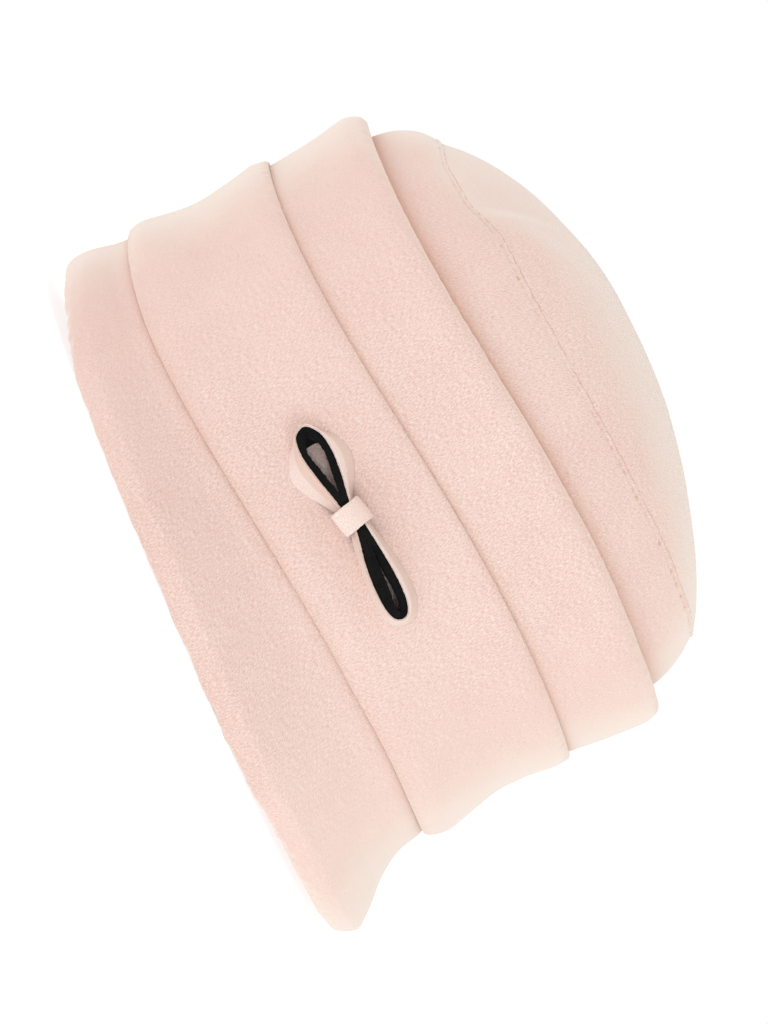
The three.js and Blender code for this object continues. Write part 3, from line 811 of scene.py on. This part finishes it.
def evenly(curve, count):
    length = np.concatenate([[0], np.cumsum(np.linalg.norm(np.diff(curve[:, :2], axis=0), axis=1))])
    wanted = np.linspace(0, length[-1], count)
    return np.stack([np.interp(wanted, length, curve[:, column]) for column in range(curve.shape[1])], axis=1)


def outlineOf(stations, columns, turn):
    # The outline at even steps, its inward direction, and the lining's thickness along it
    table = np.array(stations)[:, [*columns, 4]]
    curve = evenly(splineThrough(table, 0.4, lambda rows: rows[:, :2]), bow["steps"] + 1)
    tangent = np.gradient(curve[:, :2], axis=0)
    tangent /= np.linalg.norm(tangent, axis=1, keepdims=True)
    return curve[:, :2], np.stack([-tangent[:, 1], tangent[:, 0]], axis=1) * turn, curve[:, 2]


def knotBack():
    half = bow["knotHeight"] / 2 - bow["knotCorner"] / 2
    faces = bandFace(np.array([bow["along"]] * 2), np.array([bow["up"] + half, bow["up"] - half]))
    return bow["offBand"] + faces.max()


def loopLayer(loop, outerDepth, thicknessAt, edge, roughEdge, seed):
    # edge lists the corners of the strip's section: share of its width from the hat, share of its
    # thickness, and how far they stand past the free edge
    near, nearIn, lining = outlineOf(loop["stations"], (0, 1), loop["turn"])
    base, baseIn, _ = outlineOf(loop["stations"], (2, 3), loop["turn"])
    thickness = thicknessAt(lining)
    lean = np.linalg.norm(near - base, axis=1)
    pressing = (1 - loop["pressed"]) * smoothStep(-near[:, 0], *loop["pressedAlong"])
    reach = np.sqrt(bow["width"] ** 2 - lean**2) * (1 - pressing)
    onHat = bandFace(base[:, 0] + bow["along"], base[:, 1] + bow["up"]) + bow["footGap"]
    inKnot = knotBack() + bow["knotFelt"] + bow["offBand"]
    nearKnot = 1 - smoothStep(np.abs(base[:, 0]), bow["underKnot"], bow["onBand"])
    foot = onHat * (1 - nearKnot) + inKnot * nearKnot
    free = foot + reach
    section = []
    for width, depth, past in edge:
        spread = 0
        if depth == 0 and outerDepth == 0:
            spread = bow["spread"] * max(1 - width / bow["footShare"], 0) ** 2
        inward = (outerDepth + depth * thickness)[:, None] - spread
        plane = (base + baseIn * inward) * (1 - width) + (near + nearIn * inward) * width
        away = foot * (1 - width) + free * width + past
        section.append(np.stack([plane[:, 0] + bow["along"], -away, plane[:, 1] + bow["up"]], axis=1))
    points = np.stack(section, axis=1)
    shares = np.array([width for width, _, _ in edge])
    rough = roughEdge * (0.25 + 0.75 * shares**6)[None, :]
    for axis in range(3):
        points[..., axis] += rough * waves(points, 1.1, seed + axis, 24)
        points[..., axis] += rough * waves(points, 3.0, seed + 5 + axis, 24) * 0.3
    return points[:, ::-1] if loop["turn"] > 0 else points


def openGrid(name, points, shade=None):
    # A strip with closed ends: its section shrinks to a point just past each end
    first = points[:1].mean(axis=1, keepdims=True).repeat(points.shape[1], axis=1)
    last = points[-1:].mean(axis=1, keepdims=True).repeat(points.shape[1], axis=1)
    full = np.concatenate([first, points, last])
    if shade is not None:
        shade = np.concatenate([shade[:1], shade, shade[-1:]])
    count, width = full.shape[:2]

    def joinsEnds(face):
        return {vert.index // width for vert in face.verts} == {0, count - 1}

    return cleaned(gridMesh(name, full, shade=shade), joinsEnds)


def stripEdge():
    # A thin cut line runs along the free edge, between the two layers of the strip
    low, high = bow["cutLine"]
    inside = [(share, 1.0, 0) for share in np.linspace(0, 0.97, 12)]
    edge = [(1, 0.93, 0), (1, 0.74, 0.02), (1, low, -0.2), (1, high, -0.2), (1, 0.44, 0.03), (1, 0.12, 0.0)]
    outside = [(share, 0.0, 0) for share in (*np.linspace(0.97, bow["footShare"], 8), 0.19, 0.13, 0.08, 0.04, 0.0)]
    return inside + edge + outside


def liningEdge():
    inside = [(share, 1.0, 0) for share in np.linspace(0, 0.93, 14)]
    edge = [
        (1, 0.95, -0.45), (1, 0.85, -0.2), (1, 0.7, -0.12), (1, 0.5, -0.08),
        (1, 0.3, -0.1), (1, 0.15, -0.16), (1, 0.05, -0.35),
    ]
    outside = [(share, 0.0, 0) for share in np.linspace(0.93, 0, 14)]
    return inside + edge + outside


def makeLoop(name, loop, seed):
    strip = loopLayer(loop, 0, lambda lining: bow["strip"] + 0 * lining, stripEdge(), bow["roughStrip"], seed)
    # Painted shade in the groove where the strip's two layers part, and on the sides of the leaves that face up
    stripShade = np.zeros(strip.shape[:2])
    depths = [depth for _, depth, _ in stripEdge()]
    if loop["turn"] > 0:
        depths = depths[::-1]
    for column, depth in enumerate(depths):
        if depth in bow["cutLine"]:
            stripShade[:, column] = np.clip(0.95 + 0.5 * waves(strip[:, column], 1.1, seed + 20), 0.3, 1)
    away = strip - strip.mean(axis=1, keepdims=True)
    facingUp = away[..., 2] / np.maximum(np.hypot(away[..., 0], away[..., 2]), 1e-6)
    stripShade = np.maximum(stripShade, bow["leafShade"] * smoothStep(facingUp, -0.3, 0.8))
    place(openGrid(f"bow_{name}_loop_felt", strip, shade=stripShade), f"bow_{name}_loop", bowFelt)
    under = bow["strip"] + bow["gap"]
    lining = loopLayer(loop, under, lambda thick: thick, liningEdge(), bow["roughLining"], seed + 40)
    place(openGrid(f"bow_{name}_lining_felt", lining), f"bow_{name}_lining", blackFelt)


def makeKnot():
    lean, radius, half = math.radians(bow["knotLean"]), bow["knotCorner"], bow["knotHeight"] / 2
    backAt = knotBack()
    frontAt = backAt + bow["knotDepth"]
    corners = [
        (backAt + radius, half - radius, 90), (backAt + radius, radius - half, 180),
        (frontAt - radius, radius - half, 270), (frontAt - radius, half - radius, 0),
    ]
    path = []
    for outwardAt, upAt, start in corners:
        for step in range(9):
            angle = math.radians(start + 90 * step / 8)
            across, up = math.cos(angle), math.sin(angle)
            path.append((outwardAt + radius * across, upAt + radius * up, across, up))
    path = np.array(path + path[:1])
    path = evenly(path, 141)[:-1]
    path[:, 2:] /= np.linalg.norm(path[:, 2:], axis=1, keepdims=True)
    reach = bow["knotLength"] / 2
    outline = [(share * reach, -0.12 * share**4) for share in np.linspace(-0.94, 0.94, 11)]
    outline += [(reach * 0.985, -0.3), (reach, -0.6), (reach * 0.985, -0.95)]
    outline += [(share * reach, -bow["knotFelt"]) for share in np.linspace(0.93, -0.93, 7)]
    outline += [(-reach * 0.985, -0.95), (-reach, -0.6), (-reach * 0.985, -0.3)]
    section = []
    for across, depth in outline:
        outwardBy, up = path[:, 0] + path[:, 2] * depth, path[:, 1] + path[:, 3] * depth
        section.append(np.stack([
            bow["along"] + across * math.cos(lean) - up * math.sin(lean), -outwardBy,
            bow["up"] + across * math.sin(lean) + up * math.cos(lean),
        ], axis=1))
    points = np.stack(section, axis=1)
    uneven = 0.06 * waves(points, 3, 61) + 0.03 * waves(points, 1.6, 62)
    points += uneven[..., None] * np.array([0.6, 0.3, 0.6])
    rise = (points[..., 2] - bow["up"]) * math.cos(lean) - (points[..., 0] - bow["along"]) * math.sin(lean)
    # Painted shade, stronger towards the knot's upper side
    piece = gridMesh("bow_knot_felt", points, shade=bow["knotShade"] * smoothStep(rise, -2.5, 5.5))
    place(cleaned(piece, weld=False), "bow_knot", bowFelt)


makeLoop("rear", rearLoop, 100)
makeLoop("front", frontLoop, 200)
makeKnot()
print("bow made")

studio = {
    "floorSize": 12.0, "floorColour": (0.4, 0.4, 0.4), "floorGlow": 0.76,
    "sky": (  # height, from the level to straight up, and colour
        (0.13, (1.0, 1.0, 1.0, 1)), (0.45, (0.73, 0.72, 0.70, 1)),
        (0.75, (0.95, 0.93, 0.91, 1)), (1.0, (1.3, 1.3, 1.3, 1)),
    ),
    # each light's direction round the hat from its front in degrees, power, and colour
    "lights": {
        "key": (-61, 8.0, (0.83, 0.98, 1.0)), "frontLight": (-50, 1.0, (0.82, 1.0, 1.0)),
        "backLight": (-170, 2.6, (0.9, 0.9, 1.0)),
    },
    "lightDistance": 1.75, "lightHeight": 0.15, "lightSize": 0.7,
    "cameraPlace": (0.001, -1.6, 0.100), "cameraAim": (0.001, 0, 0.0761),
    "cameraTurn": 67,  # degrees, the hat leans over in the picture
    "focalLength": 160.7,
}


def makeFloor():
    half = studio["floorSize"] / 2
    mesh = bpy.data.meshes.new("floor")
    corners = [(-half, -half, 0), (half, -half, 0), (half, half, 0), (-half, half, 0)]
    mesh.from_pydata(corners, [], [(0, 1, 2, 3)])
    floor = bpy.data.objects.new("floor", mesh)
    bpy.context.scene.collection.objects.link(floor)
    graph = Graph("paleFloor")
    shader = graph.node("ShaderNodeBsdfPrincipled", {}, {
        "Base Color": (*studio["floorColour"], 1), "Roughness": 0.9, "Specular IOR Level": 0.1,
        "Emission Color": (1, 1, 1, 1), "Emission Strength": studio["floorGlow"],
    })
    mesh.materials.append(graph.finish(shader))


def makeLights():
    world = bpy.data.worlds.new("whiteStudio")
    world.use_nodes = True
    nodes, links = world.node_tree.nodes, world.node_tree.links
    direction, height = nodes.new("ShaderNodeTexCoord"), nodes.new("ShaderNodeSeparateXYZ")
    sky = nodes.new("ShaderNodeValToRGB")
    sky.color_ramp.interpolation = "EASE"
    setStops(sky.color_ramp, studio["sky"])
    links.new(direction.outputs["Generated"], height.inputs[0])
    links.new(height.outputs["Z"], sky.inputs["Fac"])
    links.new(sky.outputs["Color"], nodes["Background"].inputs["Color"])
    bpy.context.scene.world = world
    for name, (turn, power, colour) in studio["lights"].items():
        light = bpy.data.lights.new(name, "AREA")
        light.energy = power
        light.size = studio["lightSize"]
        light.color = colour
        softbox = bpy.data.objects.new(name, light)
        reach = studio["lightDistance"]
        softbox.location = (
            reach * math.cos(math.radians(turn)), reach * math.sin(math.radians(turn)), studio["lightHeight"],
        )
        aim = Vector((0, 0, 0.08)) - softbox.location
        softbox.rotation_euler = aim.to_track_quat("-Z", "Y").to_euler()
        bpy.context.scene.collection.objects.link(softbox)


def makeCamera():
    lens = bpy.data.cameras.new("camera")
    lens.lens = studio["focalLength"]
    lens.sensor_fit = "VERTICAL"
    lens.sensor_height = 36
    lens.clip_end = 60
    camera = bpy.data.objects.new("camera", lens)
    camera.location = studio["cameraPlace"]
    aim = (Vector(studio["cameraAim"]) - camera.location).to_track_quat("-Z", "Y")
    camera.rotation_mode = "QUATERNION"
    camera.rotation_quaternion = aim @ Quaternion((0, 0, 1), math.radians(studio["cameraTurn"]))
    bpy.context.scene.collection.objects.link(camera)
    bpy.context.scene.camera = camera


makeFloor()
makeLights()
makeCamera()
bpy.context.scene.view_settings.view_transform = "Standard"
print("studio made")
